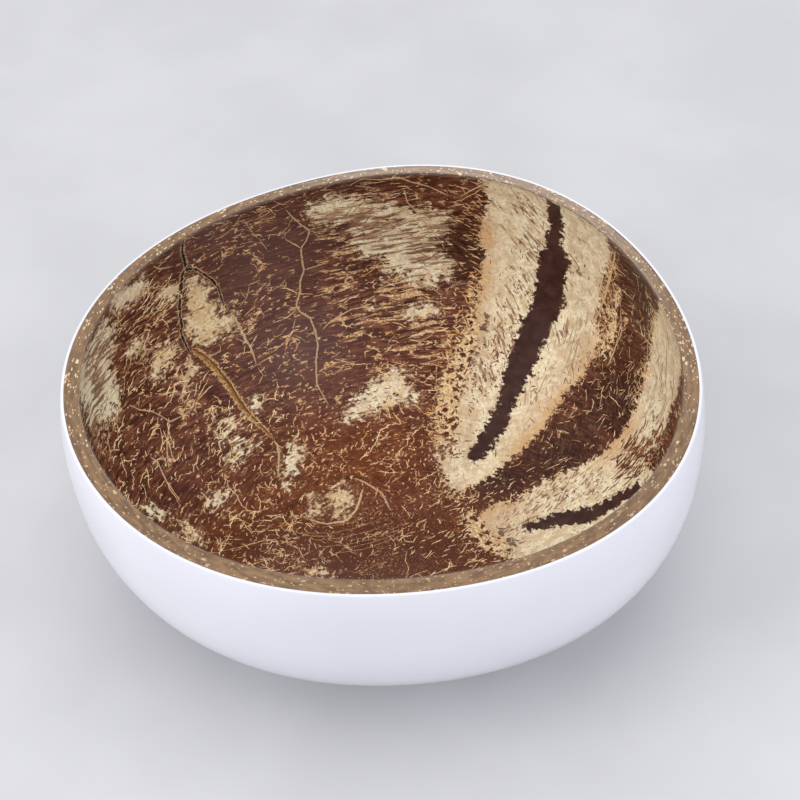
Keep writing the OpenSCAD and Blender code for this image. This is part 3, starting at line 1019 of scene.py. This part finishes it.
# Longer fibres that can be told apart in the photograph, each with its width in mm.
long_fibres = [
    ([(305, 533), (330, 533), (355, 528), (380, 519)], 0.11),
    ([(312, 540), (340, 538), (370, 531), (395, 522)], 0.12),
    ([(318, 547), (345, 545), (375, 538), (398, 530)], 0.10), ([(335, 553), (365, 549), (390, 540)], 0.11),
    ([(285, 529), (310, 536), (335, 536)], 0.10), ([(350, 541), (380, 534), (404, 524)], 0.10),
    ([(322, 527), (350, 523), (372, 514)], 0.10), ([(342, 549), (370, 543), (396, 534)], 0.10),
    ([(145, 281), (148, 288), (150, 296), (146, 300)], 0.30), ([(159, 282), (157, 289), (150, 296)], 0.28),
    ([(297, 310), (286, 318), (276, 322)], 0.26), ([(296, 316), (293, 330), (288, 342), (285, 352)], 0.26),
    ([(115, 420), (120, 412), (126, 404)], 0.26), ([(209, 378), (204, 388), (198, 398), (195, 408)], 0.36),
    ([(166, 480), (160, 487), (156, 492)], 0.34), ([(166, 480), (172, 492), (180, 501)], 0.4),
    ([(225, 475), (229, 487), (237, 495), (242, 505), (254, 515)], 0.40),
    ([(254, 515), (260, 510), (261, 502), (257, 495)], 0.34),
    ([(222, 551), (245, 546), (265, 540), (275, 539), (280, 547)], 0.34),
    ([(222, 551), (226, 543), (230, 534)], 0.3), ([(280, 525), (285, 531), (292, 525), (302, 520)], 0.32),
    ([(239, 518), (246, 526), (252, 534)], 0.26),
    ([(400, 424), (390, 425), (380, 431), (377, 441), (368, 454)], 0.44),
    ([(409, 435), (407, 445), (395, 455)], 0.36), ([(376, 471), (390, 473), (405, 472)], 0.32),
    ([(407, 550), (405, 560), (409, 568), (405, 576)], 0.36),
    ([(430, 575), (441, 571), (452, 566), (450, 560)], 0.34), ([(410, 577), (419, 573), (427, 570)], 0.3),
    ([(403, 534), (405, 541), (413, 542), (418, 535)], 0.36),
    ([(415, 487), (420, 480), (430, 475), (440, 470)], 0.42), ([(432, 500), (445, 492), (455, 487)], 0.34),
    ([(612, 266), (619, 270), (626, 276)], 0.22), ([(600, 296), (607, 292), (616, 290)], 0.24),
    ([(606, 288), (612, 298), (613, 310)], 0.24), ([(597, 318), (604, 322), (607, 331)], 0.22),
    ([(620, 305), (621, 322), (616, 344), (607, 366)], 0.30), ([(598, 350), (606, 345), (612, 346)], 0.22),
    ([(609, 395), (616, 402), (621, 408)], 0.26), ([(648, 300), (655, 312), (652, 326)], 0.26),
    ([(640, 345), (648, 340), (652, 350), (646, 358)], 0.24), ([(470, 181), (480, 186), (487, 193)], 0.28),
    ([(448, 203), (462, 200), (477, 192), (487, 183)], 0.32), ([(467, 172), (476, 177), (487, 178)], 0.26),
    ([(270, 200), (283, 205), (290, 200)], 0.24), ([(243, 220), (252, 232), (263, 243)], 0.24),
    ([(214, 240), (223, 236), (233, 228), (241, 216)], 0.26), ([(243, 250), (251, 254), (259, 258)], 0.3),
    ([(240, 290), (246, 299), (240, 306)], 0.3), ([(250, 286), (246, 299)], 0.28),
    ([(250, 370), (257, 365), (268, 358), (277, 354)], 0.26), ([(258, 367), (263, 376), (259, 384)], 0.24),
    ([(160, 452), (163, 440), (160, 428)], 0.3), ([(240, 470), (235, 458), (241, 446)], 0.34),
]
for places, width in long_fibres:
    line = [Vector(p) for p in walk(places, 0.7 * mm) if p[2] < highest_fibre]
    strand = []
    for i, spot in enumerate(line):
        way = (line[min(i + 1, len(line) - 1)] - line[max(i - 1, 0)]).normalized()
        swelling = min(1, 0.35 + 2.5 * min(i, len(line) - 1 - i) / len(line))
        spot = pushed_to_wall(spot + Vector(chance.normal(0, 0.07, 3)) * mm)
        strand.append((spot, (spot - growth_middle).normalized(),
                       width / 2 * mm * swelling * chance.uniform(0.7, 1.3), way))
    if len(strand) > 1:
        lay_thread(bm, strand, float(chance.uniform(0.4, 0.9)), tone_layer)
fibres_piece = made_piece(bm, "shell_fibres", False)

fibre_look, mix, body = material("fibres left in the shell")
tone = mix.stored("tone")
patchy = mix.cloud(mix.place_mm(), 0.9, 3.0, 0.6)
brown = mix.blend(mix.ramp(patchy, 0.42, 0.62), (86, 46, 31), (142, 86, 54))
colour = mix.washed(
    mix.blend(tone, (220, 162, 92), (253, 228, 182)),
    (mix.ramp(patchy, 0.48, 0.38, 0, 0.7), (122, 76, 54)),
    (mix.ramp(tone, -0.2, -0.6), brown))
mix.feed(body, {"Base Color": colour, "Roughness": 0.6, "Specular IOR Level": 0.2})
fibres_piece.data.materials.append(fibre_look)
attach(fibres_piece, "root")


# The white lacquer.
# Ground coats and white gloss lacquer, half a millimetre in all, brushed and rubbed down
# over the whole outside and the sanded flat. Its edge shows as a white line at the rim.

lacquer_edge = 0.16 * mm
coat_side = side_profile(belly_radius, form_low, form_high, 0.0, bowl_height, 64)
under_coat = shell_side(40)
foot_ease = 0.8 * mm
lacquer_profile = (
    [(0, 0), (foot_radius * 0.5, 0)]
    + eased_edge(coat_side[0], (0, 0), coat_side[1], foot_ease)
    + [p for p in coat_side[1:-1] if p[1] > foot_ease]
    + eased_edge(coat_side[-1], coat_side[-2], under_coat[-1], lacquer_edge)
    + eased_edge(under_coat[-1], coat_side[-1], under_coat[-2], lacquer_edge / 2)
    + under_coat[-2::-1] + [(0, lacquer_thickness)])
lacquer = turned("white_lacquer_coat", lacquer_profile, steps=360,
                 shift_share=lambda radius, height: 0)

lacquer_look, mix, body = material("white gloss lacquer")
place = mix.place_mm()
rubbed = mix.cloud(place, 0.04, 3.0, 0.5)
orange_peel = mix.cloud(place, 0.5, 3.0, 0.5)
dust = mix.specks(place, 0.35, 0.86, 0.06)["Mask"]
colour = mix.washed(
    mix.blend(mix.ramp(rubbed, 0.2, 0.8), (218, 218, 227), (223, 223, 232)),
    (mix.times(dust, 0.3), (196, 192, 190)))
mix.feed(body, {"Base Color": colour, "Roughness": mix.ramp(rubbed, 0.1, 0.9, 0.22, 0.28),
                "Normal": mix.bump(orange_peel, 0.05 * mm, 0.35),
                "Coat Weight": 0.35, "Coat Roughness": 0.12})
lacquer.data.materials.append(lacquer_look)
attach(lacquer, "root")
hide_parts("white_lacquer")


# The clear varnish.
# A clear gloss film poured round the hollow and left to drain. It has gathered in a
# small bead just under the rim, where its grey look is painted sheen.

varnish_thickness = 0.15 * mm
film_gap = 0.02 * mm          # keeps the film's back just clear of the shell
bead_thickness = 0.24 * mm
bead_height = 1.5 * mm        # how far down from the rim the bead reaches
film_top = bowl_height - 0.12 * mm    # ends at the rim's eased edge


def beaded(radius, height):
    """The film's face swells into the bead just under the rim."""
    under = (bowl_height - height) / bead_height
    if under > 1:
        return radius
    return radius - (bead_thickness - varnish_thickness) * math.sin(math.pi * (1 - under) ** 0.8)


film_back = hollow_side(film_gap, film_top, 70)
film_face = hollow_side(varnish_thickness, film_top, 100)
varnish_profile = ([(0, film_back[0][1])] + film_back[1:]
                   + [(beaded(r, z), z) for r, z in film_face[:0:-1]] + [(0, film_face[0][1])])
varnish = turned("clear_varnish_film", varnish_profile, steps=300,
                 shift_share=lambda radius, height: 1)

varnish_look, mix, coat = material("clear gloss varnish", "ShaderNodeMixShader")
place = mix.place_mm()
drained = mix.bump(mix.cloud(place, 0.16, 2.0, 0.5), 0.6 * mm, 0.35)
clear = mix.add("ShaderNodeBsdfTransparent", {})
shine = mix.add("ShaderNodeBsdfGlossy", {"Roughness": 0.28, "Normal": drained})
bead_painted_sheen = mix.add("ShaderNodeBsdfDiffuse", {"Color": paint(190, 186, 178)})
mirrored = mix.add("ShaderNodeFresnel", {"IOR": 1.5, "Normal": drained})
behind = mix.add("ShaderNodeNewGeometry", {}).outputs["Backfacing"]
front = mix.minus(1.0, behind)
# In the bead a grey diffuse is mixed into the clear film: painted sheen.
in_bead = mix.times(mix.ramp(mix.parts(place)[2], 57.0, 57.6, 0, 0.14), front)
film = mix.add("ShaderNodeMixShader", {0: in_bead, 1: clear.outputs[0], 2: bead_painted_sheen.outputs[0]})
sheen = mix.times(mirrored.outputs[0], front, 0.36)
mix.feed(coat, {0: sheen, 1: film.outputs[0], 2: shine.outputs[0]})
varnish.data.materials.append(varnish_look)
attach(varnish, "root")
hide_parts("clear_varnish")


# The studio.
# A plain pale floor and soft light. The camera stands where the photograph was taken.

bpy.ops.mesh.primitive_plane_add(size=6, location=(0, 0, -0.0002))
floor = bpy.context.object
floor.name = "studio_floor"
floor_look, mix, body = material("pale floor")
mottle = mix.cloud(mix.place_mm(), 0.02, 3.0, 0.5)
colour = mix.blend(mix.ramp(mottle, 0.3, 0.7), (190, 190, 192), (197, 197, 199))
mix.feed(body, {"Base Color": colour, "Roughness": 0.7})
floor.data.materials.append(floor_look)


def softbox(name, place, aim, size, power, tint=(1, 1, 1), mirrored=True):
    """A square soft lamp at place, turned towards aim."""
    lamp = bpy.data.lights.new(name, "AREA")
    lamp.size, lamp.energy, lamp.color = size, power, tint
    holder = bpy.data.objects.new(name, lamp)
    holder.location = place
    holder.rotation_euler = (Vector(aim) - Vector(place)).to_track_quat("-Z", "Y").to_euler()
    holder.visible_glossy = mirrored
    bpy.context.scene.collection.objects.link(holder)


softbox("overhead", (-0.1, 0.05, 1.1), (0, 0, 0.03), 1.0, 6.0, (1, 0.99, 0.98), False)
softbox("left", (-0.95, -0.25, 0.55), (0, 0, 0.03), 0.8, 6.4, (1, 0.99, 0.98), False)
softbox("right", (0.95, -0.25, 0.6), (0, 0, 0.03), 0.8, 4.6, (0.98, 0.99, 1), False)
softbox("front", (0.1, -0.95, 0.6), (0, 0, 0.03), 0.8, 3.0, (0.98, 0.98, 1), False)
softbox("window", (0.1, 1.05, 0.86), (0, 0.05, 0.058), 0.35, 0.9, (1, 0.99, 0.98), True)

world = bpy.data.worlds.new("soft room")
world.use_nodes = True
world.node_tree.nodes["Background"].inputs["Color"].default_value = (0.92, 0.94, 1, 1)
world.node_tree.nodes["Background"].inputs["Strength"].default_value = 0.55
bpy.context.scene.world = world

sensor_width = 36             # mm
camera = bpy.data.objects.new("camera", bpy.data.cameras.new("camera"))
camera.data.sensor_width = sensor_width
camera.data.lens = sensor_width * photo_focal / photo_size
camera.data.clip_start = 0.01
camera.matrix_world = Matrix((photo_right, photo_up, -sight)).transposed().to_4x4()
camera.location = photo_eye
bpy.context.scene.collection.objects.link(camera)
bpy.context.scene.camera = camera
bpy.context.scene.view_settings.view_transform = "Standard"
